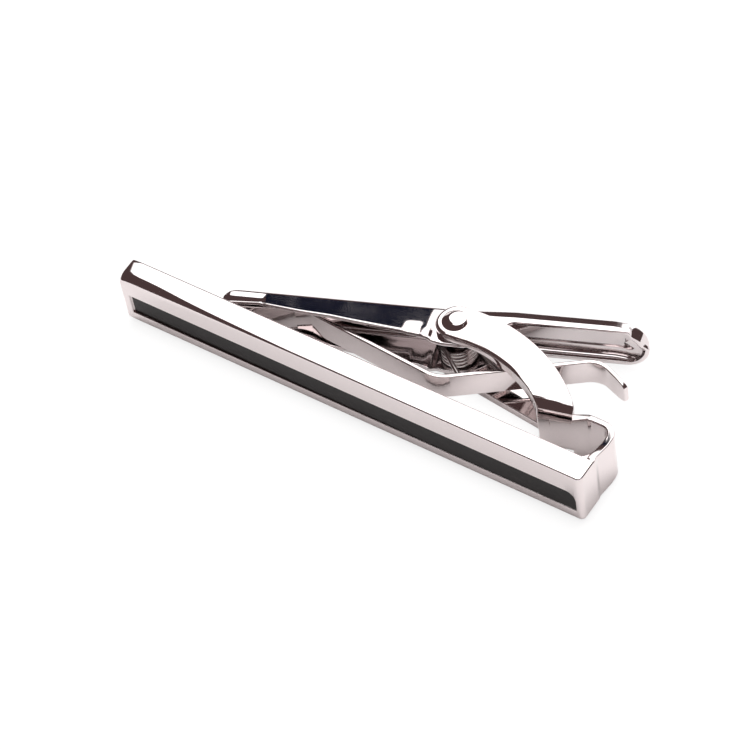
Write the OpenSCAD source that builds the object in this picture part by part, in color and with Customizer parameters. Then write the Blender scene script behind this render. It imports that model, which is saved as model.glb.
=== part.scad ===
// Tie clip. A polished bar with a dark strip let into its front face carries a folded
// bracket behind one end. A sprung lever is riveted between the bracket's two cheeks,
// and its nose closes on the back of the bar.
// X runs along the bar, +Y is the side of the lever, and Z = 0 is the surface that the
// clip lies on. The origin is under the middle of the whole clip.

/* [Bar] */
// Length of the bar
bar_l = 58.3; // [50:0.1:68]
// Depth of the bar, front to back
bar_d = 2.9; // [2.4:0.1:3.6]
// Height of the bar
bar_h = 6.8; // [6.4:0.1:8]
// Radius of the bar's upright corners
bar_corner_r = 0.45; // [0.3:0.05:0.9]
// Radius of the bar's long edges
bar_edge_r = 0.3; // [0.1:0.02:0.4]

/* [Inlay] */
// Height of the strip let into the front face
inlay_h = 2.75; // [2:0.05:3.2]
// Border of bare metal above the strip
inlay_above = 2.8; // [2:0.05:3]
// Border of bare metal left of the strip
inlay_left = 1.0; // [0.8:0.1:3]
// Border of bare metal right of the strip
inlay_right = 0.8; // [0.6:0.1:3]
// Depth of the pocket that the strip lies in
pocket_depth = 0.9; // [0.6:0.05:1.3]
// How far the strip's face lies under the bar's face
inlay_sunk = 0.25; // [0.1:0.05:0.4]
// Radius of the strip's one round corner
inlay_corner_r = 1.1; // [0.5:0.1:1.6]

/* [Bracket] */
// Thickness of the wall that returns behind the bar's end
wall_t = 0.78; // [0.6:0.02:1]
// Thickness of each cheek
cheek_t = 1.05; // [0.8:0.05:1.2]
// How far the bracket stands lower than the bar
bracket_low = 0.6; // [0.3:0.05:0.8]
// Step between the bar's end and the bracket's wall
wall_inset = 0.18; // [0.05:0.01:0.3]
// Clear depth of the loop behind the bar
loop_depth = 4.75; // [4.5:0.05:5.2]
// Distance from the bar's end to the free end of the web
loop_reach = 9.05; // [8.8:0.05:9.4]
// Clear depth behind the bar at the free end of the web
web_near = 3.35; // [3.2:0.05:3.5]
// Inner radius of the loop's rounded corner
loop_r = 1.1; // [0.8:0.1:1.5]
// How far the loop's upper edge falls from the bar to the web
loop_fall = 0.85; // [0.5:0.05:1]
// Length of the web between the cheeks
web_l = 3.8; // [3.7:0.05:3.9]
// Distance from the web's face to the lower cheek's straight edge, at the web's end
lower_depth = 2.02; // [1.9:0.01:2.2]
// Radius of the folds between the web and the cheeks
fold_r = 1.3; // [0.6:0.05:1.4]
// Radius of the cheeks' round eye
eye_r = 2.12; // [1.9:0.02:2.3]
// Radius of the cheeks' hollow edge
hollow_r = 17; // [16.8:0.1:17.4]
// Radius of the cheeks' bowed edge
bow_r = 19.2; // [18.9:0.1:19.4]
// Depth of the upper cheek's edge where it turns into the web
lip_web = 1.85; // [1.5:0.05:1.9]

/* [Pivot] */
// Distance from the bar's end to the pivot
pivot_from_end = 22.36; // [22.2:0.02:22.6]
// Distance from the bar's back face to the pivot
pivot_back = 8.93; // [8.8:0.01:9.1]
// Radius of the rivet's shank
pin_r = 1.0; // [0.8:0.05:1.1]
// Running clearance round the shank in the lever
pin_clear = 0.04; // [0.02:0.01:0.06]
// Radius of the rivet's domed head
head_r = 1.35; // [1.25:0.05:1.7]
// Height of the rivet's domed head
head_h = 0.5; // [0.3:0.05:0.7]

/* [Lever] */
// Width of the lever, between the outer faces of its flanges
lever_w = 5.1; // [4.7:0.05:5.14]
// Thickness of the lever's sheet
lever_t = 0.5; // [0.4:0.02:0.6]
// Distance from the pivot to the lever's back face
lever_back = 2.62; // [2.5:0.01:2.8]
// Distance from the pivot to the tip of the nose
nose_reach = 25.9; // [23:0.1:28]
// Depth of the nose, from the lever's back to the bar
nose_depth = 2.1; // [2.0:0.05:2.4]
// Radius of the nose's round top
nose_r = 1.3; // [0.8:0.1:1.6]
// Gap between the closed nose and the bar
nose_gap = 0.06; // [0.05:0.01:0.1]
// Distance from the pivot to the thumb end
thumb_reach = 20.05; // [19.4:0.05:20.6]
// Depth of the flanges at the thumb end
flange_thumb = 1.3; // [1.1:0.05:1.5]
// Depth of the flanges near the nose
flange_nose = 1.5; // [1.4:0.05:1.8]
// Depth of the ears below the pivot
ear_depth = 2.3; // [2.0:0.05:2.4]
// Outer radius of the lever's folds
lever_fold_r = 0.9; // [0.4:0.05:1]

/* [Jaw leaf] */
// Width of the leaf
leaf_w = 3.3; // [2.8:0.05:3.4]
// Thickness of the leaf
leaf_t = 0.5; // [0.4:0.02:0.54]
// Distance from the pivot to the crease, towards the nose
crease_reach = 17.1; // [16:0.1:18]
// Distance in front of the pivot of the leaf's belly
belly_depth = 6.33; // [6.2:0.01:6.4]
// Distance from the pivot to the belly's bend, towards the nose
belly_l = 1.05; // [0.8:0.05:1.4]
// Distance from the pivot to the leaf's crest, towards the thumb end
crest_reach = 15.5; // [14.5:0.1:16.5]
// Distance in front of the pivot of the leaf's crest
crest_depth = 2.04; // [1.9:0.02:2.2]
// Length of the leaf's tail, past its crest
tail_l = 3.1; // [2.8:0.05:3.2]
// How far the leaf's tail turns down from its crest
tail_drop = 2.82; // [2.6:0.02:2.9]
// Width of the leaf's tail
tail_w = 2.9; // [2.6:0.05:3]
// Radius of the tail's round corners
tail_r = 1.1; // [0.6:0.1:1.3]

/* [Torsion spring] */
// Diameter of the spring's wire
wire_d = 0.3; // [0.28:0.01:0.32]
// Mean radius of the coil
coil_r = 1.9; // [1.8:0.01:1.92]
// Gap between neighbouring turns
coil_gap = 0.42; // [0.41:0.01:0.43]

/* [Hidden] */

// Smoothness of bores and round edges
$fn = 64;
// Points on each rounded corner of a folded strip, and on each arc of a cheek
corner_steps = 10;
arc_steps = 28;
// Overrun of every cut past the face that it opens
over = 0.2;
// Length over which the loop's wall runs into the fork
wall_lap = 0.1;
// Gap between the leaf's end and the inside of the nose
leaf_seat = 0.03;
// Gap between a leg of the spring and the sheet that it bears on
leg_seat = 0.02;
// Gap between the spring's lower leg and the leaf that it passes under
coil_lift = 0.02;
// Whole turns of the coil, before the part turn between its legs
coil_whole = 4;
// Radius of the leaf's bends, from the crease to the crest
crease_r = 4;
belly_r = 4.2;
crest_r = 2.4;
// Sides of the wire and rings in one turn of the coil
wire_sides = 6;
turn_rings = 24;
// Shares of the lever's flange outline: place along the arm, then how far it has
// gone from the shallow flange to the ear's full depth
ear_shares = [[0.84, 0.02], [0.72, 0.07], [0.55, 0.22], [0.42, 0.38], [0.3, 0.55], [0.17, 0.68],
              [0.1, 0.85], [0.055, 0.97]];
// Places of the ear's two lower corners and of its return to the thumb side's flange
ear_front_share = 0.016;
ear_low_share = 0.07;
ear_back_share = 0.29;
// Share of the loop's clear depth where its upper edge stops falling
fall_share = 0.6;
// Share of the loop's clear length that runs straight behind its corner
corner_share = 0.32;
// Lean of the cheeks' arms, from the eye to the middles of their circles
arm_lean = -80.7;

bracket_h = bar_h + bracket_low;
bar_z = bracket_low;
mid_z = bracket_h / 2;
pivot = [bar_l - pivot_from_end, bar_d + pivot_back];

// The lever leans so that its nose just meets the bar.
nose_front = lever_back - nose_depth;
nose_level = pivot_back - nose_gap;
nose_far = norm([nose_reach, nose_front]);
lever_angle = asin(nose_level / nose_far) + atan(nose_front / nose_reach);

overall_d = pivot[1] + thumb_reach * sin(lever_angle) + lever_back * cos(lever_angle);
origin = [bar_l / 2, overall_d / 2, 0];

lever_z = mid_z - lever_w / 2;
leaf_z = mid_z - leaf_w / 2;

// The wall that returns behind the bar, along its inner face
wall_x = bar_l - wall_inset - wall_t;
loop_y = bar_d + loop_depth;
corner_run = (loop_reach - wall_inset - wall_t) * corner_share;
web_end = [bar_l - loop_reach, bar_d + web_near];
web_turn = [wall_x - corner_run, loop_y];

// The arcs of the cheeks, from the middles of their two circles
hollow_c = pivot + (hollow_r + eye_r) * [cos(arm_lean), sin(arm_lean)];
bow_c = pivot + (bow_r - eye_r) * [cos(arm_lean), sin(arm_lean)];

function unit(v) = v / norm(v);
function left(v) = [-v[1], v[0]];
function heading(p, i) =
    i == 0 ? unit(p[1] - p[0])
    : i == len(p) - 1 ? unit(p[i] - p[i - 1])
    : unit(unit(p[i] - p[i - 1]) + unit(p[i + 1] - p[i]));
// A line moved sideways by d, to its left
function beside(p, d) = [for (i = [0:len(p) - 1]) p[i] + d * left(heading(p, i))];
// The arc that rounds the corner at b between a and c
function corner(a, b, c, r) =
    let (u = unit(a - b), v = unit(c - b), half = acos(u * v) / 2,
         m = b + unit(u + v) * r / sin(half),
         p = b + u * r / tan(half) - m, q = b + v * r / tan(half) - m,
         from = atan2(p[1], p[0]), turn = atan2(q[1], q[0]) - from,
         sweep = turn > 180 ? turn - 360 : turn < -180 ? turn + 360 : turn)
    [for (i = [0:corner_steps]) m + r * [cos(from + sweep * i / corner_steps),
                                         sin(from + sweep * i / corner_steps)]];
// A line through the given points, with its inner corners rounded
function rounded(p, r) =
    [p[0], for (i = [1:len(p) - 2]) each corner(p[i - 1], p[i], p[i + 1], r[i - 1]), p[len(p) - 1]];
function reversed(p) = [for (i = [len(p) - 1:-1:0]) p[i]];

// A flat strip of thickness t that lies to the left of a line
module strip(p, t) {
    polygon(concat(p, reversed(beside(p, t))));
}

module rounded_rect(w, h, r) {
    translate([r, 0]) square([w - 2 * r, h]);
    translate([0, r]) square([w, h - 2 * r]);
    for (x = [r, w - r], y = [r, h - r]) translate([x, y]) circle(r);
}

module placed() {
    translate(-origin) children();
}

// Moves from the lever's own axes, along and across its arm, to its closed place
module on_lever() {
    translate([pivot[0], pivot[1], 0]) rotate([0, 0, lever_angle]) children();
}

module bar_blank() {
    intersection() {
        linear_extrude(bar_h) rounded_rect(bar_l, bar_d, bar_corner_r);
        rotate([90, 0, 90]) linear_extrude(bar_l) rounded_rect(bar_d, bar_h, bar_edge_r);
    }
}

// Outline of the strip on the front face, square at all corners but the last upper one
module inlay_outline() {
    w = bar_l - inlay_left - inlay_right;
    difference() {
        square([w, inlay_h]);
        translate([w - inlay_corner_r, inlay_h - inlay_corner_r])
            square(inlay_corner_r + over);
    }
    translate([w - inlay_corner_r, inlay_h - inlay_corner_r]) circle(inlay_corner_r);
}

module in_front_face() {
    translate([inlay_left, 0, bar_z + bar_h - inlay_above - inlay_h]) children();
}

module front_bar() {
    color("gainsboro") placed() difference() {
        translate([0, 0, bar_z]) bar_blank();
        in_front_face() translate([0, pocket_depth, 0]) rotate([90, 0, 0])
            linear_extrude(pocket_depth + over) inlay_outline();
    }
}

module inlay() {
    color("dimgray") placed() in_front_face() translate([0, pocket_depth, 0]) rotate([90, 0, 0])
        linear_extrude(pocket_depth - inlay_sunk) inlay_outline();
}

// The web's straight part, from its free end to where it leaves the cheeks
web_way = unit(web_turn - web_end);
web_lean = atan2(web_way[1], web_way[0]);
web_far = web_end + web_l * web_way;
wall_line = rounded([[wall_x, bar_d], [wall_x, loop_y], web_turn, web_far - wall_lap * web_way],
    [loop_r, loop_r * 2]);

function on_circle(c, r, a) = c + r * [cos(a), sin(a)];
// Points of an arc about c from one angle up to, and without, another
function arc(c, r, from, to) =
    [for (i = [0:arc_steps - 1]) on_circle(c, r, from + (to - from) * i / arc_steps)];
// Angle on a circle about c where it crosses the square line through p on the web
function cross_angle(c, r, p) = web_lean + acos((p - c) * web_way / r);

// The edge that both cheeks share: along the bow to the far end of the web
bow_end = cross_angle(bow_c, bow_r, web_far);
bow_edge = concat(arc(bow_c, bow_r, arm_lean + 180, bow_end),
    [on_circle(bow_c, bow_r, bow_end), web_far, web_end]);

module upper_outline() {
    polygon(concat(arc(pivot, eye_r, arm_lean, arm_lean - 180), bow_edge,
        arc(hollow_c, hollow_r, cross_angle(hollow_c, hollow_r, web_end), arm_lean + 180)));
}

// The lower cheek has a straight front edge where the upper one is hollow.
module lower_outline() {
    foot = web_end + lower_depth * left(web_way);
    lean = atan2(foot[1] - pivot[1], foot[0] - pivot[0]) - acos(eye_r / norm(foot - pivot));
    polygon(concat(arc(pivot, eye_r, lean, arm_lean - 180), bow_edge, [foot]));
}

// Height of the loop's wall, seen along the bar: it falls from the bar to the web
module wall_side() {
    fall_y = bar_d + loop_depth * fall_share;
    back_y = pivot[1];
    polygon([[bar_d, bar_z], [bar_d, bracket_h], [fall_y, bracket_h - loop_fall],
             [back_y, bracket_h - loop_fall], [back_y, 0], [fall_y, 0]]);
}

// The folded sheet seen along the web: a cheek, the web and the other cheek
module fork_section() {
    deep = pivot_from_end;
    difference() {
        union() {
            translate([0, fold_r]) square([deep, bracket_h - 2 * fold_r]);
            translate([fold_r, 0]) square([deep - fold_r, bracket_h]);
            for (y = [fold_r, bracket_h - fold_r]) translate([fold_r, y]) circle(fold_r);
        }
        translate([wall_t, cheek_t]) square([deep, bracket_h - 2 * cheek_t]);
    }
}

// The edge of the upper cheek deepens where it turns down into the web.
module lip() {
    start_x = pivot[0] + 2 * eye_r;
    intersection() {
        linear_extrude(bracket_h) upper_outline();
        translate([hollow_c[0], hollow_c[1], 0])
            cylinder(r = hollow_r + wall_t, h = bracket_h, $fn = 240);
        translate([0, pivot[1] + eye_r, 0]) rotate([90, 0, 0]) linear_extrude(pivot[1])
            polygon([[start_x, bracket_h - cheek_t / 2], [start_x, bracket_h - cheek_t],
                     [web_end[0], bracket_h - lip_web], [web_far[0], bracket_h - lip_web],
                     [web_far[0], bracket_h - fold_r]]);
    }
}

// The web and the two cheeks that are folded from it
module fork() {
    difference() {
        union() {
            intersection() {
                translate([web_far[0], web_far[1], 0]) rotate([0, 0, web_lean])
                    rotate([90, 0, -90]) mirror([1, 0, 0])
                    linear_extrude(pivot_from_end) fork_section();
                union() {
                    translate([0, 0, mid_z]) linear_extrude(mid_z) upper_outline();
                    linear_extrude(mid_z) lower_outline();
                }
            }
            lip();
        }
        translate([pivot[0], pivot[1], -over]) cylinder(r = pin_r, h = bracket_h + 2 * over);
    }
}

module bracket() {
    color("silver") placed() {
        fork();
        // The wall of the loop, from the bar round to the fork
        intersection() {
            linear_extrude(bracket_h) strip(wall_line, -wall_t);
            rotate([90, 0, 90]) linear_extrude(bar_l) wall_side();
        }
    }
}

module pivot_rivet() {
    dome_r = (head_r * head_r + head_h * head_h) / (2 * head_h);
    color("silver") placed() translate([pivot[0], pivot[1], 0]) {
        cylinder(r = pin_r, h = bracket_h);
        translate([0, 0, bracket_h]) intersection() {
            translate([0, 0, head_h - dome_r]) sphere(dome_r, $fn = 96);
            cylinder(r = head_r, h = head_h);
        }
    }
}

// Side outline of the lever: along the arm from the nose to the thumb end
flange_edge = lever_back - flange_nose;
flange_line = [for (e = ear_shares)
    [-nose_reach * e[0], flange_edge - (flange_edge + ear_depth) * e[1]]];

module lever_side() {
    ear_end = thumb_reach * ear_back_share;
    polygon(concat(
        [[-nose_reach, nose_front], [-nose_reach + nose_depth / 2, nose_front]],
        flange_line,
        [[-nose_reach * ear_front_share, -ear_depth], [thumb_reach * ear_low_share, -ear_depth],
         [ear_end, lever_back - flange_thumb], [thumb_reach, lever_back - flange_thumb],
         [thumb_reach, lever_back], [-nose_reach + nose_r, lever_back]],
        [for (i = [1:corner_steps]) let (a = 90 + 90 * i / corner_steps)
            [-nose_reach + nose_r, lever_back - nose_r] + nose_r * [cos(a), sin(a)]]
    ));
}

// The lever seen from behind: a long plate with one full round end, all round moved in by inset
module lever_face(inset) {
    r = lever_w / 2 - inset;
    x = thumb_reach - lever_w / 2;
    translate([-nose_reach - over, -r]) square([nose_reach + over + x, 2 * r]);
    translate([x, 0]) circle(r);
}

module lever_section() {
    translate([0, 0]) square([lever_w, lever_back + ear_depth + over - lever_fold_r]);
    translate([lever_fold_r, 0])
        square([lever_w - 2 * lever_fold_r, lever_back + ear_depth + over]);
    for (x = [lever_fold_r, lever_w - lever_fold_r])
        translate([x, lever_back + ear_depth + over - lever_fold_r]) circle(lever_fold_r);
}

module lever() {
    top = lever_back + ear_depth + 2 * over;
    color("lightgray") placed() on_lever() difference() {
        intersection() {
            translate([0, 0, lever_z]) linear_extrude(lever_w) lever_side();
            translate([0, lever_back + over, mid_z]) rotate([90, 0, 0])
                linear_extrude(top) lever_face(0);
            translate([-nose_reach - over, -ear_depth - over, lever_z + lever_w])
                rotate([0, 90, 0]) linear_extrude(nose_reach + thumb_reach + 2 * over)
                lever_section();
        }
        // The hollow of the channel, open to the bar's side
        intersection() {
            translate([0, 0, lever_z]) linear_extrude(lever_w) polygon([
                [-nose_reach + lever_t, -ear_depth - over],
                [thumb_reach, -ear_depth - over],
                [thumb_reach, lever_back - lever_t],
                [-nose_reach + nose_r, lever_back - lever_t],
                [-nose_reach + lever_t, lever_back - nose_r]]);
            translate([0, lever_back, mid_z]) rotate([90, 0, 0])
                linear_extrude(top) lever_face(lever_t);
        }
        translate([0, 0, lever_z - over]) cylinder(r = pin_r + pin_clear, h = lever_w + 2 * over);
    }
}

leaf_start = [-nose_reach + lever_t + leaf_seat, lever_back - nose_r - leaf_t];
leaf_line = rounded(
    [leaf_start, [-crease_reach, lever_back - flange_nose + leaf_t / 4],
     [-belly_l, -belly_depth], [crest_reach, -crest_depth],
     [crest_reach + tail_l, -crest_depth - tail_drop]],
    [crease_r, belly_r, crest_r]);

// The leaf seen from behind: it narrows from its crest to its tail, with round corners.
module leaf_face() {
    tip = crest_reach + tail_l + leaf_t / 2;
    polygon(concat([[-nose_reach, -leaf_w / 2], [crest_reach, -leaf_w / 2]],
        corner([crest_reach, -leaf_w / 2], [tip, -tail_w / 2], [tip, 0], tail_r),
        corner([tip, 0], [tip, tail_w / 2], [crest_reach, leaf_w / 2], tail_r),
        [[crest_reach, leaf_w / 2], [-nose_reach, leaf_w / 2]]));
}

module jaw_leaf() {
    color("whitesmoke") placed() on_lever() intersection() {
        translate([0, 0, leaf_z]) linear_extrude(leaf_w) strip(leaf_line, leaf_t);
        translate([0, lever_back, mid_z]) rotate([90, 0, 0])
            linear_extrude(lever_back + 2 * belly_depth) leaf_face();
    }
}

// Distance from a along the heading u to the line through b with the heading v
function meet(a, u, b, v) = cross(b - a, v) / cross(u, v);
function turned(p) = [p[0] * cos(lever_angle) - p[1] * sin(lever_angle),
                      p[0] * sin(lever_angle) + p[1] * cos(lever_angle)];

// The coil's axis is the rivet's. Its lower end runs straight to the web, under the
// leaf, and its upper end runs straight to the back of the leaf.
coil_pitch = wire_d + coil_gap;
coil_low = leaf_z - coil_lift - wire_d / 2;
coil_start = 68;
coil_part = 167.3;
coil_turns = coil_whole + coil_part / 360;
coil_end = coil_start + 360 * coil_turns;
function coil_point(a) = [coil_r * cos(a), coil_r * sin(a), coil_low + coil_pitch * (a - coil_start) / 360];
function coil_way(a) = [-sin(a), cos(a)];

belly = turned([-belly_l, -belly_depth]);
leaf_way = unit(turned([crest_reach, -crest_depth]) - belly);
first = coil_point(coil_start);
last = coil_point(coil_end);
leg_web = meet([first[0], first[1]], -coil_way(coil_start),
               web_end - pivot + (wall_t + wire_d / 2 + leg_seat) * left(web_way), web_way);
leg_leaf = meet([last[0], last[1]], coil_way(coil_end),
                belly + (leaf_t + wire_d / 2 + leg_seat) * left(leaf_way), leaf_way);

coil_rings = ceil(coil_turns * turn_rings);
function along(a, d) = concat(coil_way(a) * d, [0]);
coil_line = concat(
    [first - along(coil_start, leg_web), first - along(coil_start, wire_d)],
    [for (i = [0:coil_rings]) coil_point(coil_start + (coil_end - coil_start) * i / coil_rings)],
    [last + along(coil_end, wire_d), last + along(coil_end, leg_leaf)]);

function way3(p, i) = unit(p[min(i + 1, len(p) - 1)] - p[max(i - 1, 0)]);
function ring3(p, i) =
    let (t = way3(p, i), n = unit(cross(t, [0, 0, 1])), b = cross(n, t))
    [for (k = [0:wire_sides - 1]) let (a = 360 * k / wire_sides)
        p[i] + wire_d / 2 * (cos(a) * n + sin(a) * b)];

module wire(p) {
    n = len(p);
    s = wire_sides;
    pts = [for (i = [0:n - 1]) each ring3(p, i)];
    sides = [for (i = [0:n - 2], k = [0:s - 1]) let (a = i * s + k, b = i * s + (k + 1) % s)
        each [[a, b, b + s], [a, b + s, a + s]]];
    caps = [for (k = [1:s - 2]) each [[0, k + 1, k],
        [(n - 1) * s, (n - 1) * s + k, (n - 1) * s + k + 1]]];
    polyhedron(points = pts, faces = concat(sides, caps), convexity = 8);
}

// Least gap of the wire to itself, between points at least half a turn apart
self_gap = min([for (i = [0:len(coil_line) - 1], j = [i + turn_rings / 2:len(coil_line) - 1])
    norm(coil_line[i] - coil_line[j])]) - wire_d;
echo(least_gap_of_the_spring_to_itself = self_gap);

module torsion_spring() {
    color("gray") placed() translate([pivot[0], pivot[1], 0]) wire(coil_line);
}

front_bar();
inlay();
bracket();
pivot_rivet();
lever();
jaw_leaf();
torsion_spring();
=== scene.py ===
"""Looks of a tie clip: a polished bar with a dark strip, a folded bracket and a sprung lever."""
import math

import bmesh
import bpy
from mathutils import Matrix, Vector

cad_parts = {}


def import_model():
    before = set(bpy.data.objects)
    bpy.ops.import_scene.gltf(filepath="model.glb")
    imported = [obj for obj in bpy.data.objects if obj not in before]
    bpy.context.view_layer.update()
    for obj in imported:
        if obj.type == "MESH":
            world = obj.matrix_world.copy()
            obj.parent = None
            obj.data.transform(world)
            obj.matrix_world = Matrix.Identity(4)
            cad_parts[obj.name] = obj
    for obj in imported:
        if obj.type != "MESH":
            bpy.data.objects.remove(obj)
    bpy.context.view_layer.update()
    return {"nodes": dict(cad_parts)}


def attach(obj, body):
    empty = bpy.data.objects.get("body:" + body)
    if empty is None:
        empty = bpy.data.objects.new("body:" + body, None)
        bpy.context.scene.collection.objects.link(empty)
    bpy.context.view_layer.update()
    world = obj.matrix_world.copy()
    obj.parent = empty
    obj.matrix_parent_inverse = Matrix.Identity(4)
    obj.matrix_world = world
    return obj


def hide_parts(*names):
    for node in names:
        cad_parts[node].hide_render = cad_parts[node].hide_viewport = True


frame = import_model()
nodes = frame["nodes"]
MM = 0.001

# Sizes in millimetres, as in the part's source
BAR_L = 58.3
BAR_D = 2.9
BAR_H = 6.8
BAR_Z = 0.6
STRIP_H = 2.75
STRIP_ABOVE = 2.8
STRIP_LEFT = 1.0
STRIP_RIGHT = 0.8
STRIP_CORNER = 1.1
POCKET = 0.9
WALL_T = 0.78
WALL_INSET = 0.18
WALL_X = BAR_L - WALL_INSET - WALL_T
BRACKET_H = 7.4
MID_Z = BRACKET_H / 2
WEB_END = (BAR_L - 9.05, BAR_D + 3.35)
WEB_TURN_Y = BAR_D + 4.75
CORNER_RUN = (9.05 - WALL_INSET - WALL_T) * 0.32
FOLD_R = 1.3
EYE_R = 2.12
HOLLOW_R = 17.0
HOLLOW_AZIMUTH = -80.7
PIVOT = (BAR_L - 22.36, 11.83)
THUMB_REACH = 20.05
NOSE_REACH = 25.9
LEVER_W = 5.1
LEVER_T = 0.5
LEVER_BACK = 2.62
NOSE_DEPTH = 2.1
NOSE_R = 1.3
NOSE_LEVEL = 8.93 - 0.06
NOSE_FRONT = LEVER_BACK - NOSE_DEPTH
LEVER_ANGLE = (math.asin(NOSE_LEVEL / math.hypot(NOSE_REACH, NOSE_FRONT))
               + math.atan(NOSE_FRONT / NOSE_REACH))
OVERALL_D = PIVOT[1] + THUMB_REACH * math.sin(LEVER_ANGLE) + LEVER_BACK * math.cos(LEVER_ANGLE)
LEAF_T = 0.5
LEAF_W = 3.3


# Places and curves

def row(x, y, z):
    """A point of the bar's own axes, in the shared frame, in metres."""
    return Vector(((x - BAR_L / 2) * MM, (y - OVERALL_D / 2) * MM, z * MM))


def on_lever(a, n, z):
    """A point along and across the lever's arm, in the shared frame, in metres."""
    c, s = math.cos(LEVER_ANGLE), math.sin(LEVER_ANGLE)
    return row(PIVOT[0] + a * c - n * s, PIVOT[1] + a * s + n * c, z)


def table(points, x):
    """The value at x on the straight lines between the points."""
    for (x0, y0), (x1, y1) in zip(points, points[1:]):
        if x <= x1:
            return y0 + (y1 - y0) * max(0, (x - x0) / (x1 - x0))
    return points[-1][1]


def share(x, low, high):
    """0 below low, 1 above high, and smooth between them."""
    t = max(0, min(1, (x - low) / (high - low)))
    return t * t * (3 - 2 * t)


def rounding(x, r):
    """How far an edge of radius r has drawn back at a distance x from its end."""
    return r - math.sqrt(max(0, r * r - max(0, r - x) ** 2))


def unit(v):
    """The plan vector v made 1 long."""
    d = math.hypot(v[0], v[1])
    return (v[0] / d, v[1] / d)


def arc(cx, cy, r, start, end, steps):
    """Points of an arc about (cx, cy) between two angles in degrees, both ends included."""
    turns = [math.radians(start + (end - start) * k / steps) for k in range(steps + 1)]
    return [(cx + r * math.cos(a), cy + r * math.sin(a)) for a in turns]


def corner(a, b, c, r, steps):
    """The arc that rounds the corner at b between a and c."""
    u = unit((a[0] - b[0], a[1] - b[1]))
    v = unit((c[0] - b[0], c[1] - b[1]))
    half = math.acos(max(-1, min(1, u[0] * v[0] + u[1] * v[1]))) / 2
    w = unit((u[0] + v[0], u[1] + v[1]))
    m = (b[0] + w[0] * r / math.sin(half), b[1] + w[1] * r / math.sin(half))
    run = r / math.tan(half)
    start = math.atan2(b[1] + u[1] * run - m[1], b[0] + u[0] * run - m[0])
    turn = math.atan2(b[1] + v[1] * run - m[1], b[0] + v[0] * run - m[0]) - start
    turn = (turn + math.pi) % (2 * math.pi) - math.pi
    return arc(m[0], m[1], r, math.degrees(start), math.degrees(start + turn), steps)


def resampled(line, step):
    """Points along a line, no further apart than step."""
    out = [line[0]]
    for a, b in zip(line, line[1:]):
        n = max(1, math.ceil(math.hypot(b[0] - a[0], b[1] - a[1]) / step))
        out += [(a[0] + (b[0] - a[0]) * k / n, a[1] + (b[1] - a[1]) * k / n)
                for k in range(1, n + 1)]
    return out


# Meshes

SHARP_ANGLE = 38


def finished(name, bm, body, material, slot, *replaced):
    """Makes an object of bm, with smooth faces and normals that keep flats flat."""
    bmesh.ops.recalc_face_normals(bm, faces=bm.faces)
    for f in bm.faces:
        f.smooth = True
    for e in bm.edges:
        if len(e.link_faces) == 2 and e.calc_face_angle(0) > math.radians(SHARP_ANGLE):
            e.smooth = False
    me = bpy.data.meshes.new(name)
    bm.to_mesh(me)
    bm.free()
    o = bpy.data.objects.new(name, me)
    bpy.context.scene.collection.objects.link(o)
    flats = o.modifiers.new("flats", "WEIGHTED_NORMAL")
    flats.weight = 100
    flats.keep_sharp = True
    bpy.context.view_layer.update()
    made = o.evaluated_get(bpy.context.evaluated_depsgraph_get())
    o.data = bpy.data.meshes.new_from_object(made)
    o.modifiers.clear()
    o.data.name = name
    o.data.materials.clear()
    o.data.materials.append(material)
    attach(o, body)
    if replaced:
        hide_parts(*replaced)


def plain(node):
    """A copy of the node's shape with its flat faces whole again."""
    bm = bmesh.new()
    bm.from_mesh(nodes[node].data)
    bmesh.ops.remove_doubles(bm, verts=bm.verts, dist=2e-6)
    bmesh.ops.dissolve_limit(bm, angle_limit=math.radians(1), verts=bm.verts, edges=bm.edges)
    return bm


def rounded(bm, radius, steps, angle):
    """A copy of bm with each edge above that angle rounded to the radius given for its middle."""
    bm.edges.ensure_lookup_table()
    wide = []
    for e in bm.edges:
        bent = len(e.link_faces) == 2 and e.calc_face_angle(0) > math.radians(angle)
        wide.append(radius((e.verts[0].co + e.verts[1].co) / 2) if bent else 0)
    most = max(wide)
    me = bpy.data.meshes.new("blank")
    bm.edges.index_update()
    bm.to_mesh(me)
    bm.free()
    weights = me.attributes.new("bevel_weight_edge", "FLOAT", "EDGE")
    weights.data.foreach_set("value", [r / most for r in wide])
    o = bpy.data.objects.new("blank", me)
    bpy.context.scene.collection.objects.link(o)
    bevel = o.modifiers.new("edges", "BEVEL")
    bevel.width = most * MM
    bevel.segments = steps
    bevel.limit_method = "WEIGHT"
    bevel.use_clamp_overlap = False
    bpy.context.view_layer.update()
    out = bmesh.new()
    out.from_mesh(o.evaluated_get(bpy.context.evaluated_depsgraph_get()).to_mesh())
    bpy.data.objects.remove(o)
    bpy.data.meshes.remove(me)
    return out


def skin(bm, rings):
    """Joins rings of points, each to the next, and closes both ends."""
    made = [[bm.verts.new(p) for p in ring] for ring in rings]
    n = len(made[0])
    for a, b in zip(made, made[1:]):
        for i in range(n):
            bm.faces.new((a[i], a[(i + 1) % n], b[(i + 1) % n], b[i]))
    bm.faces.new(made[0][::-1])
    bm.faces.new(made[-1])


# Materials

def shader(name):
    """A new material, its nodes and links, and its main shader."""
    m = bpy.data.materials.new(name)
    m.use_nodes = True
    return m, m.node_tree.nodes, m.node_tree.links, m.node_tree.nodes["Principled BSDF"]


def new_node(ns, kind, values):
    """A shader node of that kind, with the inputs named in values set."""
    n = ns.new(kind)
    for key, value in values.items():
        n.inputs[key].default_value = value
    return n


def maths(ns, ln, kind, a, b):
    """A maths node of that kind on two values, each a socket or a number."""
    n = ns.new("ShaderNodeMath")
    n.operation = kind
    for k, v in enumerate((a, b)):
        if isinstance(v, (int, float)):
            n.inputs[k].default_value = v
        else:
            ln.new(v, n.inputs[k])
    return n.outputs[0]


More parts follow.
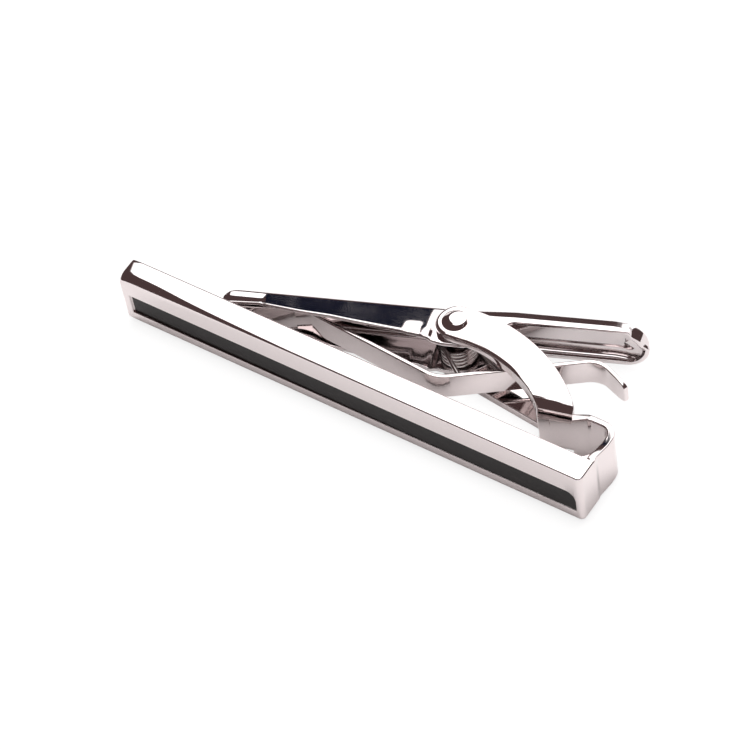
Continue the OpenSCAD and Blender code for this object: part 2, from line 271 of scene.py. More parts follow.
def smooth(ns, ln, value, low, high):
    """A node that gives 0 below low, 1 above high, and is smooth between them."""
    n = new_node(ns, "ShaderNodeMapRange", {"From Min": low, "From Max": high})
    n.interpolation_type = "SMOOTHSTEP"
    ln.new(value, n.inputs["Value"])
    return n.outputs["Result"]


def mixed(ns, ln, factor, a, b):
    """A node that mixes two colours, each a socket or three numbers."""
    n = ns.new("ShaderNodeMix")
    n.data_type = "RGBA"
    ln.new(factor, n.inputs["Factor"])
    for k, v in (("A", a), ("B", b)):
        if isinstance(v, tuple):
            n.inputs[k].default_value = (*v, 1)
        else:
            ln.new(v, n.inputs[k])
    return n.outputs["Result"]


def bumped(ns, ln, height, strength, distance, b):
    """Gives the main shader b a relief of that height."""
    bump = new_node(ns, "ShaderNodeBump", {"Strength": strength, "Distance": distance})
    ln.new(height, bump.inputs["Height"])
    ln.new(bump.outputs["Normal"], b.inputs["Normal"])


def chrome(name, tint, rough, scratch, along=(1, 1, 1)):
    """Polished plating: hairline scratches, faint haze and small pits."""
    m, ns, ln, b = shader(name)
    where = ns.new("ShaderNodeTexCoord")
    stretch = new_node(ns, "ShaderNodeMapping", {"Scale": along})
    ln.new(where.outputs["Object"], stretch.inputs["Vector"])
    fine = new_node(ns, "ShaderNodeTexNoise", {"Scale": 9000, "Detail": 4})
    ln.new(stretch.outputs["Vector"], fine.inputs["Vector"])
    haze = new_node(ns, "ShaderNodeTexNoise", {"Scale": 420, "Detail": 5, "Roughness": 0.6})
    ln.new(where.outputs["Object"], haze.inputs["Vector"])
    spread = new_node(ns, "ShaderNodeMapRange", {"From Min": 0.35, "From Max": 0.75,
                                                 "To Min": rough, "To Max": rough * 2.2})
    ln.new(haze.outputs["Fac"], spread.inputs["Value"])
    ln.new(spread.outputs["Result"], b.inputs["Roughness"])
    dulled = tuple(c * 0.95 for c in tint)
    ln.new(mixed(ns, ln, haze.outputs["Fac"], tint, dulled), b.inputs["Base Color"])
    bumped(ns, ln, fine.outputs["Fac"], scratch, 2e-6, b)
    b.inputs["Metallic"].default_value = 1
    return m


def enamel():
    """Smooth dark grey enamel with a fine grain."""
    m, ns, ln, b = shader("strip_enamel")
    where = ns.new("ShaderNodeTexCoord")
    grain = new_node(ns, "ShaderNodeTexNoise", {"Scale": 900, "Detail": 6})
    ln.new(where.outputs["Object"], grain.inputs["Vector"])
    ramp = ns.new("ShaderNodeValToRGB")
    ramp.color_ramp.elements[0].color = (0.019, 0.0158, 0.0148, 1)
    ramp.color_ramp.elements[1].color = (0.028, 0.0235, 0.022, 1)
    ln.new(grain.outputs["Fac"], ramp.inputs["Fac"])
    ln.new(ramp.outputs["Color"], b.inputs["Base Color"])
    bumped(ns, ln, grain.outputs["Fac"], 0.15, 4e-6, b)
    b.inputs["Roughness"].default_value = 0.28
    b.inputs["Specular IOR Level"].default_value = 0.22
    return m


PLATING = (0.81, 0.745, 0.74)
bar_metal = chrome("bar_plating", PLATING, 0.035, 0.12, (0.1, 1, 1))
bracket_metal = chrome("bracket_plating", PLATING, 0.04, 0.15)
rivet_metal = chrome("rivet_plating", PLATING, 0.05, 0.15)
lever_metal = chrome("lever_plating", (0.80, 0.745, 0.745), 0.05, 0.35)
leaf_metal = chrome("leaf_plating", PLATING, 0.05, 0.2)
wire_metal = chrome("spring_wire", (0.70, 0.66, 0.65), 0.12, 0.3)
strip_enamel = enamel()


# Bar and strip

# Radius of the bar's upper front edge along the bar, worn round at its left end
FRONT_R = ((0, 1.02), (3.4, 0.99), (5.2, 0.92), (6.8, 0.8), (8.4, 0.68), (10, 0.585),
           (11.7, 0.51), (14.5, 0.41), (18, 0.31), (22.5, 0.2), (60, 0.18))
BACK_R = 0.2
LOW_BACK_R = 0.3
# Radii of the ends: their upper and lower edges, the left one's upright edges, the right one's
END_R = 0.22
LEFT_R = 0.25
RIGHT_FRONT_R = 0.6
RIGHT_BACK_R = 0.03
# The lower front edge is a quarter of an ellipse: its depth and its height
LOW_FRONT = (0.12, 0.45)
# The top of the left end is worn down with this radius, over this length in front and behind
WORN_R = 12
WORN_FRONT = 2.65
WORN_BACK = 1.7
# Rim of the pocket: the size of its round, and shares of it across and along the face
RIM_R = 0.07
RIM = ((0, 1), (0.13, 0.5), (0.5, 0.13), (1, 0))
# Distances of the first sections from an end of the bar
END_STEPS = (0, 0.01, 0.035, 0.075, 0.12, 0.17, 0.22)
POCKET_HIGH = BAR_H - STRIP_ABOVE
POCKET_LOW = POCKET_HIGH - STRIP_H


def bar_section(x, depth, z_top):
    """The bar's outline at x, with a pocket of that depth whose upper side is at z_top."""
    left = x < BAR_L / 2
    from_end = min(x, BAR_L - x)
    z0 = rounding(from_end, END_R)
    z1 = BAR_H - z0
    y0 = rounding(from_end, LEFT_R if left else RIGHT_FRONT_R)
    y1 = BAR_D - rounding(from_end, LEFT_R if left else RIGHT_BACK_R)
    front_r = table(FRONT_R, x)
    pts = [(y0 + LOW_FRONT[0] * (1 - math.cos(math.radians(a))),
            z0 + LOW_FRONT[1] * (1 - math.sin(math.radians(a))))
           for a in (90, 80, 70, 60, 48, 36, 24, 12, 0)]
    pocket = [(RIM_R * u, POCKET_LOW - RIM_R * v) for u, v in RIM]
    pocket += [(POCKET, POCKET_LOW), (POCKET, z_top)]
    pocket += [(RIM_R * u, z_top + RIM_R * v) for u, v in RIM[::-1]]
    pts += [(y0 + min(y, depth), z) for y, z in pocket]
    pts += arc(y0 + front_r, z1 - front_r, front_r, 180, 90, 9)
    top_run = y1 - BACK_R - y0 - front_r
    pts += [(y0 + front_r + top_run * k / 6, z1) for k in range(1, 6)]
    pts += arc(y1 - BACK_R, z1 - BACK_R, BACK_R, 90, 0, 5)
    pts += arc(y1 - LOW_BACK_R, z0 + LOW_BACK_R, LOW_BACK_R, 0, -90, 5)
    out = []
    for y, z in pts:
        worn = WORN_FRONT + (WORN_BACK - WORN_FRONT) * min(1, max(0, y / BAR_D))
        fall = rounding(x + WORN_R - worn, WORN_R) * share(z, POCKET_HIGH + 0.3, BAR_H - 0.2)
        out.append(row(x, y, BAR_Z + z - fall))
    return out


def bar():
    """The bar as sections along it: polishing has worn its left end and front edge round."""
    high = POCKET_HIGH
    x_in, x_out = STRIP_LEFT, BAR_L - STRIP_RIGHT
    rings = [bar_section(x, 0, high) for x in END_STEPS + (0.35, 0.5, 0.65, 0.8)]
    rings += [bar_section(x_in - RIM_R * v, RIM_R * u, high) for u, v in RIM[:-1]]
    rings += [bar_section(x_in + a, depth, high)
              for a, depth in ((0.02, 0.1), (0.16, 0.28), (0.32, 0.34), (0.33, POCKET))]
    rings += [bar_section(x_in + 0.5 + 0.25 * k, POCKET, high) for k in range(8)]
    x = x_in + 2.6
    while x < x_out - STRIP_CORNER:
        rings.append(bar_section(x, POCKET, high))
        x += 0.8
    for dx, dz in arc(0, 0, STRIP_CORNER, 90, 0, 12):
        rings.append(bar_section(x_out - STRIP_CORNER + dx, POCKET, high - STRIP_CORNER + dz))
    low = high - STRIP_CORNER
    rings += [bar_section(x_out + RIM_R * v, RIM_R * u, low) for u, v in RIM[::-1]]
    rings += [bar_section(BAR_L - t, 0, low) for t in (0.6, 0.5, 0.4, 0.3) + END_STEPS[::-1]]
    bm = bmesh.new()
    skin(bm, rings)
    return bm


# Radius of the strip's edges, and how far its lower side is moved forward
STRIP_EDGE = 0.05
STRIP_FORWARD = 0.19
# Everything of the strip in front of this depth is its face
STRIP_FACE = 0.6


def strip():
    """The strip, its lower side nearly level with the bar's face."""
    bm = rounded(plain("inlay"), lambda at: STRIP_EDGE, 3, 40)
    high = BAR_Z + POCKET_HIGH
    for v in bm.verts:
        if v.co.y < row(0, STRIP_FACE, 0).y:
            down = share(high - v.co.z / MM, 0.3, STRIP_H)
            v.co.y -= STRIP_FORWARD * down * share(v.co.x / MM + BAR_L / 2, 1.2, 4) * MM
    return bm


# Bracket, solder and rivet

# Radius of the bend above the web, wider than the fold in the solids
BEND_R = 2.2
# Direction of the web in plan, its near end, and where its far end is
WEB_WAY = unit((WALL_X - CORNER_RUN - WEB_END[0], WEB_TURN_Y - WEB_END[1]))
WEB_NEAR = row(*WEB_END, 0)
WEB_FAR_X = row(WEB_END[0] + 3.8 * WEB_WAY[0], 0, 0).x
# Rounds of the cheeks' edges and of the loop's, and what the cheek's hollow front edge has more
CHEEK_EDGE = 0.12
LOOP_EDGE = 0.17
HOLLOW_EDGE = 0.3
# Directions round the eye, in degrees from the hollow's middle, between which that edge fades in
EYE_FADE = (185, 250)


def behind_web(at):
    """How far a point is behind the web's face, in millimetres."""
    return ((at.y - WEB_NEAR.y) * WEB_WAY[0] - (at.x - WEB_NEAR.x) * WEB_WAY[1]) / MM


def on_hollow(at):
    """1 on the front edge of the upper cheek, fading out behind its eye, and 0 elsewhere."""
    away = math.radians(HOLLOW_AZIMUTH)
    reach = HOLLOW_R + EYE_R
    centre = row(PIVOT[0] + reach * math.cos(away), PIVOT[1] + reach * math.sin(away), 0)
    from_eye = (at.xy - row(*PIVOT, 0).xy) / MM
    if abs(from_eye.length - EYE_R) < 0.05:
        turned = math.degrees(math.atan2(from_eye.y, from_eye.x) - away) % 360
        return share(turned, *EYE_FADE)
    return 1 if abs((at.xy - centre.xy).length / MM - HOLLOW_R) < 0.05 else 0


def bracket_edge(at):
    """The radius of the bracket's edge there; it keeps the corner where the upper cheek starts."""
    deep = behind_web(at)
    if WEB_FAR_X - 0.25 * MM < at.x < WEB_FAR_X + 0.05 * MM and deep < 0.9:
        return 0
    if at.x >= WEB_FAR_X:
        return LOOP_EDGE
    if at.z > (BRACKET_H - 0.8) * MM:
        return CHEEK_EDGE + HOLLOW_EDGE * on_hollow(at) * share(deep, 2.6, 4.2)
    return CHEEK_EDGE


def bracket():
    """The folded sheet: a wide bend above the web, and a broad round edge on its upper cheek."""
    bm = plain("bracket")
    across = Vector((-WEB_WAY[1], WEB_WAY[0], 0))
    for k in range(5):
        bmesh.ops.bisect_plane(bm, geom=bm.verts[:] + bm.edges[:] + bm.faces[:], dist=1e-7,
                               plane_co=WEB_NEAR + across * (FOLD_R + 0.1 + 0.2 * k) * MM,
                               plane_no=across)
    for v in bm.verts:
        if v.co.z > MID_Z * MM and v.co.x < WEB_FAR_X + 1e-5:
            deep = max(0, behind_web(v.co))
            v.co.z -= (rounding(deep, BEND_R) - rounding(deep, FOLD_R)) * MM
    return rounded(bm, bracket_edge, 4, 32)


def prism(bm, outline, low, high, edge):
    """An upright prism on a plan outline, with its upper and lower rims rounded by edge."""
    cx = sum(p[0] for p in outline) / len(outline)
    cy = sum(p[1] for p in outline) / len(outline)

    def ring(z, inset):
        """The outline at the height z, drawn in towards its middle by inset."""
        pts = []
        for x, y in outline:
            d = math.hypot(x - cx, y - cy)
            pts.append(row(x + (cx - x) * inset / d, y + (cy - y) * inset / d, z))
        return pts

    skin(bm, [ring(low, edge), ring(low + edge, 0), ring(high - edge, 0),
              ring(high - edge * 0.3, edge * 0.3), ring(high, edge)])


# Behind the bar the loop's upper edge falls by this, and its lower edge by BAR_Z, over this run
LOOP_FALL = 0.85
LOOP_FALL_RUN = 2.85
# The fillet's radius, and how far it goes into the bar and the loop
FILLET_R = 0.8
FILLET_LAP = 0.06
# The seam's thickness, its edges' radius, how far it stands proud, and how far its start is sunk
SEAM_T = 0.5
SEAM_R = 0.2
SEAM_PROUD = 0.003
SEAM_SUNK = 0.03


def solder():
    """The fillet of solder inside the loop, and the dressed seam outside it."""
    fillet = [(WALL_X + FILLET_LAP, BAR_D - FILLET_LAP)]
    fillet += arc(WALL_X - FILLET_R, BAR_D + FILLET_R, FILLET_R, 0, -90, 10)
    bm = bmesh.new()
    prism(bm, fillet, BAR_Z + 0.25, BRACKET_H - 0.2, 0.1)
    rings = []
    for k in range(13):
        y = BAR_D - 0.3 + 1.3 * k / 12
        past = max(0, y - BAR_D) / LOOP_FALL_RUN
        x = BAR_L - WALL_INSET * share(y, BAR_D, BAR_D + 0.9) + (SEAM_PROUD if k else -SEAM_SUNK)
        top = BRACKET_H - past * LOOP_FALL + SEAM_PROUD
        foot = BAR_Z - past * BAR_Z - SEAM_PROUD
        points = [(x - SEAM_T, foot + 0.1), (x - SEAM_R, foot)]
        points += arc(x - SEAM_R, foot + SEAM_R, SEAM_R, -75, 0, 5)
        points += arc(x - SEAM_R, top - SEAM_R, SEAM_R, 0, 90, 6)
        points.append((x - SEAM_T, top))
        rings.append([row(px, y, z) for px, z in points])
    skin(bm, rings)
    return bm


SHANK_R = 1.0
HEAD_R = 1.41
# The top of the head's dome stands off the shank's middle by this
HEAD_OFF = (0.95, 0.62)
# The dome: share of the head's radius, and height above the cheek
DOME = ((0.975, 0.075), (0.94, 0.13), (0.895, 0.195), (0.845, 0.27), (0.795, 0.34),
        (0.755, 0.395), (0.72, 0.435), (0.685, 0.463), (0.64, 0.481), (0.57, 0.491),
        (0.43, 0.4965), (0.28, 0.4987), (0.12, 0.4998), (0.003, 0.5))


def rivet():
    """The shank with a domed head, struck a little off its middle."""
    side = [(SHANK_R - 0.12, 0.0, 0), (SHANK_R - 0.03, 0.03, 0), (SHANK_R, 0.12, 0),
            (SHANK_R, BRACKET_H - 0.3, 0), (HEAD_R - 0.04, BRACKET_H + 0.004, 0),
            (HEAD_R, BRACKET_H + 0.03, 0)]
    side += [(HEAD_R * k, BRACKET_H + h, 1 - k) for k, h in DOME]
    rings = []
    for r, z, off in side:
        circle = arc(PIVOT[0] + HEAD_OFF[0] * off, PIVOT[1] + HEAD_OFF[1] * off, r, 0, 354, 59)
        rings.append([row(x, y, z) for x, y in circle])
    bm = bmesh.new()
    skin(bm, rings)
    return bm


# Lever

HALF_W = LEVER_W / 2
THUMB_MIDDLE = THUMB_REACH - HALF_W
NOSE_WALL = -NOSE_REACH + LEVER_T
NOSE_START = -NOSE_REACH + NOSE_R
# Along the arm: how far the plate's back is bowed out, and where the flanges' free edges are
BOWED = ((-25.9, 0), (-24, 0.1), (-8, 0.05), (0, 0.06), (6, 0.34), (16.5, 0.36), (19.5, 0.04),
         (21, 0))
FREE = ((-25.9, 0.52), (-24.85, 0.52), (-21.6, 0.76), (-17, 0.1), (-13.65, -0.18), (-11.4, -0.55),
        (-6.9, -1.18), (-4.4, -1.5), (-2.6, -1.95), (-1.3, -2.25), (-0.41, -2.3), (1.4, -2.3),
        (5.81, 1.32), (21, 1.32))
# Radius of the flanges' free edges
LIP_R = 0.11
# Depths below the back where the roll of the flanges starts and ends
ROLL_MARKS = (1.14, 1.06, 0.98, 0.9, 0.8, 0.7, 0.6, 0.5, 0.42)
# Slopes of the flanges: rolled off at the back, at the arm and at the thumb, then sprung open,
# dented at the nose, and drawn in round the thumb's tip
ROLL_SLOPE = 0.27
THUMB_ROLL_SLOPE = 0.25
OPEN_SLOPE = 0.12
DENT_SLOPE = 0.3
TIP_SLOPE = -0.22


def lean(a, n):
    """Slope of the flanges at a place on the lever: they spring open and roll off at the back."""
    below = LEVER_BACK + table(BOWED, a) - n
    thumb = share(a, 1, 4)
    band = 0.4 + 0.55 * thumb
    rolled = ROLL_SLOPE + (THUMB_ROLL_SLOPE - ROLL_SLOPE) * thumb
    rolled *= 1 - share(below, band, band + 0.1)
    sprung = OPEN_SLOPE * share(-a, 2.2, 3) * (1 - share(-a, 21.1, 21.6))
    patch = share(a, -5.5, -5.1) * (1 - share(a, -3.7, -3.3)) * (1 - share(n, 0.0, 0.25))
    ear = share(-0.75 - 0.35 * share(-a, 3, 5.5) - n, -0.15, 0.15) * share(a, -6.4, -4.6)
    sprung *= 1 - 0.65 * max(patch, ear)
    dented = DENT_SLOPE * share(-a, 21.3, 21.6) * (1 - share(n, 1.45, 1.65))
    return max(rolled, sprung, dented)


def lever_profile(a):
    """Inward distances and depths of one flange and half the plate, from inside to back."""
    thumb = share(a, 2, 6)
    outer, inner = 0.35 - 0.15 * thumb, 0.45 + 0.4 * thumb
    free = table(FREE, a)
    back = LEVER_BACK + table(BOWED, a)
    inside = back - LEVER_T
    squash = deep = 1
    if a < NOSE_START:
        squash = (back - rounding(a + NOSE_REACH, NOSE_R) - free) / (back - free)
        level = inside - rounding(a - NOSE_WALL, NOSE_R - LEVER_T)
        deep = max(0, (level - free) / (inside - free)) if a > NOSE_WALL + 1e-9 else 0
    low = free + LIP_R
    within = [(HALF_W - (HALF_W - LEVER_T - inner) * k / 4, inside) for k in range(4)]
    within += arc(LEVER_T + inner, inside - inner, inner, 90, 180, 8)
    within += [(LEVER_T, inside - inner + (low - inside + inner) * k / 6) for k in range(1, 6)]
    within += arc(LEVER_T - LIP_R, low, LIP_R, 0, -90, 4)
    top = back - ROLL_MARKS[0]
    outside = [(0, low + (top - low) * k / 11) for k in range(1, 11)]
    outside += [(0, back - m) for m in ROLL_MARKS]
    outside += arc(outer, back - outer, outer, 180, 90, 6)
    outside += [(outer + (HALF_W - outer) * k / 3, back) for k in range(1, 4)]
    return ([(q, free + (n - free) * deep) for q, n in within]
            + arc(LIP_R, low, LIP_R, -90, -180, 4)
            + [(q, free + (n - free) * squash) for q, n in outside])


def lever_places():
    """Places of the profiles along the arm, closer together where the shape changes quickly."""
    places = [-NOSE_REACH + d for d in (0, 0.04, 0.12, 0.25, 0.4)] + [NOSE_WALL, NOSE_WALL + 1e-6]
    a = NOSE_WALL + 0.12
    while a < THUMB_MIDDLE - 0.1:
        places.append(a)
        a += 0.12 if a < NOSE_START else 0.22 if a < -20.5 or -6.5 < a < -2 else 0.4
    return places


def lever():
    """The channel, as profiles round its outline: along one side, round the thumb end and back."""
    places = lever_places()
    stations = [(a, HALF_W, 0, -1) for a in places]
    for k in range(25):
        g = math.radians(90 - 180 * k / 24)
        c, s = math.cos(g), math.sin(g)
        stations.append((THUMB_MIDDLE + HALF_W * c, HALF_W * s, -c, -s))
    stations += [(a, -HALF_W, 0, 1) for a in places[::-1]]
    bm = bmesh.new()
    grid = []
    for a, z, ua, uz in stations:
        at = max(a, -NOSE_REACH + 1e-9)
        pts = lever_profile(at)
        drawn = rounding(at + NOSE_REACH, 0.16)
        tipped = share(-ua, 0.2, 0.45) * share(-uz, 0.0, 0.3)
        marks = sorted(set(round(n, 6) for q, n in pts), reverse=True)
        opened, height, last = {}, -0.1 + 0.04 * share(at, 1, 4), marks[0]
        for n in marks:
            slope = (1 - tipped) * lean(at, (n + last) / 2) + tipped * TIP_SLOPE
            height += slope * (last - n)
            opened[n] = height
            last = n
        ring = []
        for q, n in pts:
            d = min(HALF_W, q + drawn)
            if HALF_W - q > 1e-6:
                d -= opened[round(n, 6)] * share(HALF_W - q, 0.5, 1.95)
            ring.append(bm.verts.new(on_lever(a + ua * d, n, MID_Z + z + uz * d)))
        grid.append(ring)
    for one, two in zip(grid, grid[1:]):
        for k in range(len(one) - 1):
            bm.faces.new((one[k], one[k + 1], two[k + 1], two[k]))
    bm.faces.new(grid[0] + grid[-1][::-1])
    bmesh.ops.remove_doubles(bm, verts=bm.verts, dist=2e-7)
    bmesh.ops.dissolve_degenerate(bm, edges=bm.edges, dist=1e-7)
    return bm


# Leaf

# The leaf's line along and across the arm, and the radius of each of its bends
LEAF_LINE = ((-NOSE_REACH + 0.53, LEVER_BACK - NOSE_R - LEAF_T), (-17.1, 1.245), (-1.05, -6.33),
             (15.5, -2.04), (18.6, -4.86))
LEAF_BENDS = (4, 4.2, 2.4)
LEAF_EDGE = 0.125
# The tail: where it starts to narrow, its end, its end's radius, and where its sections are close
TAIL_START = 15.5
TAIL_TIP = 18.85
TAIL_R = 1.1
TAIL_FINE = 17.6


def leaf_path():
    """The leaf's line with its bends round, as close points."""
    line = [LEAF_LINE[0]]
    for a, b, c, r in zip(LEAF_LINE, LEAF_LINE[1:], LEAF_LINE[2:], LEAF_BENDS):
        line += corner(a, b, c, r, 24)
    line = resampled(line + [LEAF_LINE[-1]], 0.5)
    tail = [p for p in line if p[0] >= TAIL_FINE]
    return [p for p in line if p[0] < TAIL_FINE] + resampled(tail, 0.05)


def leaf_half_width(x):
    """Half the leaf's width at a place along the arm: its tail narrows and ends round."""
    if x < TAIL_START:
        return LEAF_W / 2
    wide = LEAF_W / 2 - (x - TAIL_START) / (TAIL_TIP - TAIL_START) * 0.2
    if x > TAIL_TIP - TAIL_R:
        d = min(1, (x - TAIL_TIP + TAIL_R) / TAIL_R)
        wide -= TAIL_R * (1 - math.sqrt(max(0, 1 - d * d)))
    return wide


def leaf():
    """The bent strip with round edges, as sections along its line."""
    line = leaf_path()
    near, far = LEAF_EDGE, LEAF_T - LEAF_EDGE
    rings = []
    for i, p in enumerate(line):
        a, b = line[max(0, i - 1)], line[min(len(line) - 1, i + 1)]
        t = unit((b[0] - a[0], b[1] - a[1]))
        side = leaf_half_width(p[0]) - LEAF_EDGE
        corners = ((180, near, -side), (270, far, -side), (0, far, side), (90, near, side))
        section = []
        for start, d, z in corners:
            section += arc(d, z, LEAF_EDGE, start, start + 90, 4)
        rings.append([on_lever(p[0] - t[1] * d, p[1] + t[0] * d, MID_Z + z) for d, z in section])
    bm = bmesh.new()
    skin(bm, rings)
    return bm


# Spring

WIRE = 0.55
COIL_R = 2.1 - WIRE / 2
COIL_PITCH = WIRE * 1.01
COIL_LOW = MID_Z - 0.45 - 5 * COIL_PITCH / 2
# The coil's first and last directions in degrees, and the number of its steps
COIL_START = 68.0
COIL_END = COIL_START + 4 * 360 + 167.3
COIL_STEPS = 240


def spring():
    """A close coil round the rivet, with two straight legs."""
    pts = []
    for i in range(COIL_STEPS + 1):
        turned = (COIL_END - COIL_START) * i / COIL_STEPS
        a = math.radians(COIL_START + turned)
        rise = COIL_PITCH * turned / 360
        pts.append((COIL_R * math.cos(a), COIL_R * math.sin(a), COIL_LOW + rise))
    a0, a1 = math.radians(COIL_START), math.radians(COIL_END)
    first, last = pts[0], pts[-1]
    leg0 = [(first[0] + math.sin(a0) * d, first[1] - math.cos(a0) * d, first[2])
            for d in (6.0, 4.5, 3, 1.5, 0.6)]
    leg1 = [(last[0] - math.sin(a1) * d, last[1] + math.cos(a1) * d, last[2])
            for d in (0.6, 1.5, 2.5, 3.5, 4.4)]
    line = [Vector((PIVOT[0] + x, PIVOT[1] + y, z)) for x, y, z in leg0 + pts + leg1]
    rings = []
    for i, p in enumerate(line):
        t = (line[min(i + 1, len(line) - 1)] - line[max(i - 1, 0)]).normalized()
        side = t.cross(Vector((0, 0, 1))).normalized()
        up = side.cross(t)
        rings.append([row(*(p + u * side + v * up)) for u, v in arc(0, 0, WIRE / 2, 0, 330, 11)])
    bm = bmesh.new()
    skin(bm, rings)
    return bm


finished("bar_polished", bar(), "clip_body", bar_metal, "bar_metal", "front_bar")
finished("strip_face", strip(), "clip_body", strip_enamel, "inlay_enamel", "inlay")
finished("bracket_folded", bracket(), "clip_body", bracket_metal, "bracket_metal", "bracket")
finished("bracket_solder", solder(), "clip_body", bracket_metal, "bracket_metal")
finished("rivet_domed", rivet(), "clip_body", rivet_metal, "rivet_metal", "pivot_rivet")
finished("lever_channel", lever(), "lever_arm", lever_metal, "lever_metal", "lever")
finished("leaf_bent", leaf(), "lever_arm", leaf_metal, "leaf_metal", "jaw_leaf")
finished("spring_coiled", spring(), "clip_body", wire_metal, "spring_steel", "torsion_spring")


# Floor, light and camera

# Half the floor's width in metres
FLOOR_REACH = 4.0
# Colours of the floor where it is seen, and where the metal mirrors it
FLOOR_SEEN = (0.2, 0.198, 0.198)
FLOOR_MIRRORED = (0.9, 0.88, 0.88)
# Glow of the floor where it is seen, and where the metal mirrors it
GLOW_SEEN = 0.93
GLOW_MIRRORED = 0.4
# Share of the glow that is left where the clip touches the floor: painted contact shade, dimmed by
# ambient occlusion
GLOW_LEFT_IN_PAINTED_SHADE = 0.8

# Lights as a mirror meets them: the direction's height, from none of the light to all of it
CEILING_EDGE = (0.895, 0.91)
ARM_EDGE = (0.625, 0.645)
WINDOW_EDGE = (0.33, 0.36)
NAVY_EDGE = (0.53, 0.56)
# Middle and half width in degrees from +X towards +Y: the ceiling's long arm, the wall, the navy
ARM = (104.5, 44)
WALL = (86, 31)
NAVY = (131.5, 8.5)
SOFT = 1.5
CEILING_COLOUR = (1.9, 1.9, 1.9)
WALL_COLOUR = (0.8, 0.78, 0.78)
NAVY_COLOUR = (0.008, 0.010, 0.022)
ROOM_COLOUR = (0.082, 0.053, 0.053)

# Camera: its place, and where the picture's right, down and depth point
CAMERA_PLACE = (0.134549, -0.157777, 0.247578)
CAMERA_AXES = ((0.829549, 0.546525, -0.114709), (0.366643, -0.687969, -0.626315),
               (-0.421213, 0.477502, -0.771084))


def floor():
    """A plain pale floor that keeps the clip's shadow, a little brighter in the metal; its glow is
    dimmed near the clip as painted shade.
    """
    bm = bmesh.new()
    bmesh.ops.create_grid(bm, x_segments=1, y_segments=1, size=FLOOR_REACH)
    me = bpy.data.meshes.new("floor")
    bm.to_mesh(me)
    bm.free()
    o = bpy.data.objects.new("floor", me)
    o.location = (0, 0, -0.00002)
    bpy.context.scene.collection.objects.link(o)
    m, ns, ln, b = shader("floor_white")
    out = [n for n in ns if n.type == "OUTPUT_MATERIAL"][0]
    ns.remove(b)
    path = ns.new("ShaderNodeLightPath")
    mirrored = maths(ns, ln, "MAXIMUM", path.outputs["Is Glossy Ray"],
                     path.outputs["Is Transmission Ray"])

    def near(distance):
        """1 on open floor, less within that distance of the clip; it dims the floor's glow there
        as painted shade.
        """
        n = new_node(ns, "ShaderNodeAmbientOcclusion", {"Distance": distance * MM})
        n.samples = 8
        return n.outputs["AO"]

    diffuse = ns.new("ShaderNodeBsdfDiffuse")
    ln.new(mixed(ns, ln, mirrored, FLOOR_SEEN, FLOOR_MIRRORED), diffuse.inputs["Color"])
    # Painted contact shade: the glow seen by the camera is dimmed by ambient occlusion next to the
    # clip
    painted_contact_shade = maths(ns, ln, "ADD", maths(ns, ln, "MULTIPLY", near(1.5), 1 - GLOW_LEFT_IN_PAINTED_SHADE), GLOW_LEFT_IN_PAINTED_SHADE)
    seen = maths(ns, ln, "MULTIPLY",
                 maths(ns, ln, "MULTIPLY", path.outputs["Is Camera Ray"], GLOW_SEEN), painted_contact_shade)
    # Painted shade: the glow seen in the metal fades out within 4 mm of the clip
    mirror = maths(ns, ln, "MULTIPLY", maths(ns, ln, "MULTIPLY", mirrored, GLOW_MIRRORED),
                   smooth(ns, ln, near(4), 0.5, 0.9))
    glow = ns.new("ShaderNodeEmission")
    ln.new(maths(ns, ln, "ADD", seen, mirror), glow.inputs["Strength"])
    both = ns.new("ShaderNodeAddShader")
    ln.new(diffuse.outputs[0], both.inputs[0])
    ln.new(glow.outputs[0], both.inputs[1])
    ln.new(both.outputs[0], out.inputs["Surface"])
    me.materials.append(m)


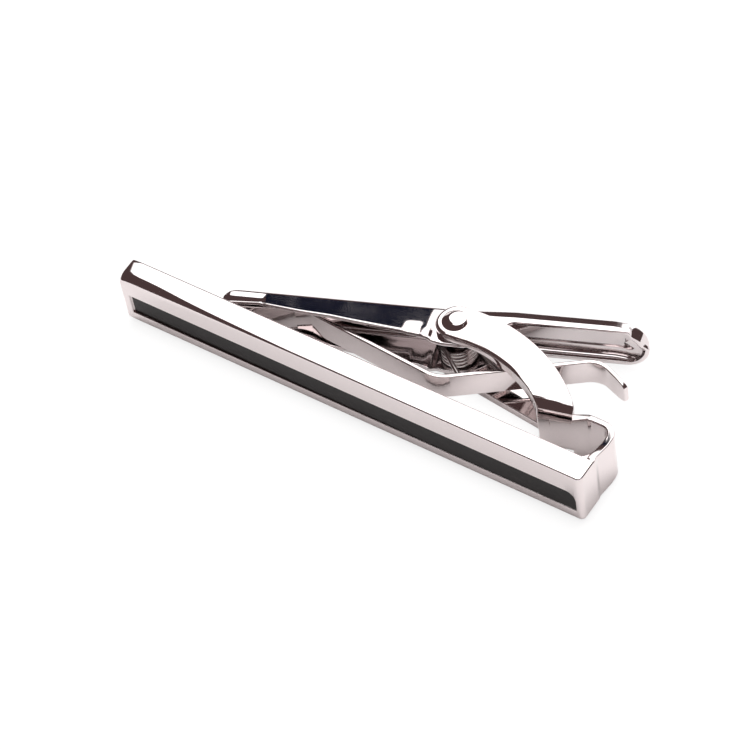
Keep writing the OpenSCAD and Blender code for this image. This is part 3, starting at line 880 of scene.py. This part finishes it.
def world():
    """A soft ceiling light with a long arm, a pale wall with a window, in a dark room."""
    w = bpy.data.worlds.new("studio")
    bpy.context.scene.world = w
    w.use_nodes = True
    ns, ln = w.node_tree.nodes, w.node_tree.links
    back = ns["Background"]
    where = ns.new("ShaderNodeTexCoord")
    axes = ns.new("ShaderNodeSeparateXYZ")
    ln.new(where.outputs["Generated"], axes.inputs[0])
    x, y, z = (axes.outputs[k] for k in range(3))
    level = maths(ns, ln, "SUBTRACT", 1.0, maths(ns, ln, "MULTIPLY", z, z))
    level = maths(ns, ln, "MAXIMUM", 0.001, maths(ns, ln, "SQRT", level, 0.0))

    def towards(azimuth, half):
        """1 within half of the azimuth, in degrees, and 0 outside."""
        a = math.radians(azimuth)
        along = maths(ns, ln, "ADD", maths(ns, ln, "MULTIPLY", x, math.cos(a)),
                      maths(ns, ln, "MULTIPLY", y, math.sin(a)))
        return smooth(ns, ln, maths(ns, ln, "DIVIDE", along, level),
                      math.cos(math.radians(half + SOFT)), math.cos(math.radians(half - SOFT)))

    top = smooth(ns, ln, z, *CEILING_EDGE)
    arm = maths(ns, ln, "MULTIPLY", towards(*ARM), smooth(ns, ln, z, *ARM_EDGE))
    wall = towards(*WALL)
    window = maths(ns, ln, "MULTIPLY", wall, smooth(ns, ln, z, *WINDOW_EDGE))
    light = maths(ns, ln, "MAXIMUM", top, maths(ns, ln, "MAXIMUM", arm, window))
    navy = maths(ns, ln, "MULTIPLY", towards(*NAVY), smooth(ns, ln, z, *NAVY_EDGE))
    dark = mixed(ns, ln, navy, ROOM_COLOUR, NAVY_COLOUR)
    low = mixed(ns, ln, wall, dark, WALL_COLOUR)
    ln.new(mixed(ns, ln, light, low, CEILING_COLOUR), back.inputs["Color"])
    back.inputs["Strength"].default_value = 1.0


def lamp():
    """A soft lamp above, behind the clip's left half."""
    place = (-0.1, 0.2, 0.6)
    data = bpy.data.lights.new("ceiling_box", "AREA")
    data.shape = "SQUARE"
    data.size = 0.3
    data.energy = 0.2
    o = bpy.data.objects.new("ceiling_box", data)
    o.location = place
    o.rotation_euler = (-Vector(place)).to_track_quat("-Z", "Y").to_euler()
    bpy.context.scene.collection.objects.link(o)


def camera():
    """The camera at the photo's angle."""
    data = bpy.data.cameras.new("camera")
    data.sensor_width = 36
    data.lens = 144
    data.clip_start = 0.01
    data.clip_end = 20
    o = bpy.data.objects.new("camera", data)
    right, down, ahead = CAMERA_AXES
    turned = [(right[k], -down[k], -ahead[k], CAMERA_PLACE[k]) for k in range(3)]
    o.matrix_world = Matrix((*turned, (0, 0, 0, 1)))
    bpy.context.scene.collection.objects.link(o)
    bpy.context.scene.camera = o


floor()
world()
lamp()
camera()
bpy.context.scene.view_settings.view_transform = "Standard"
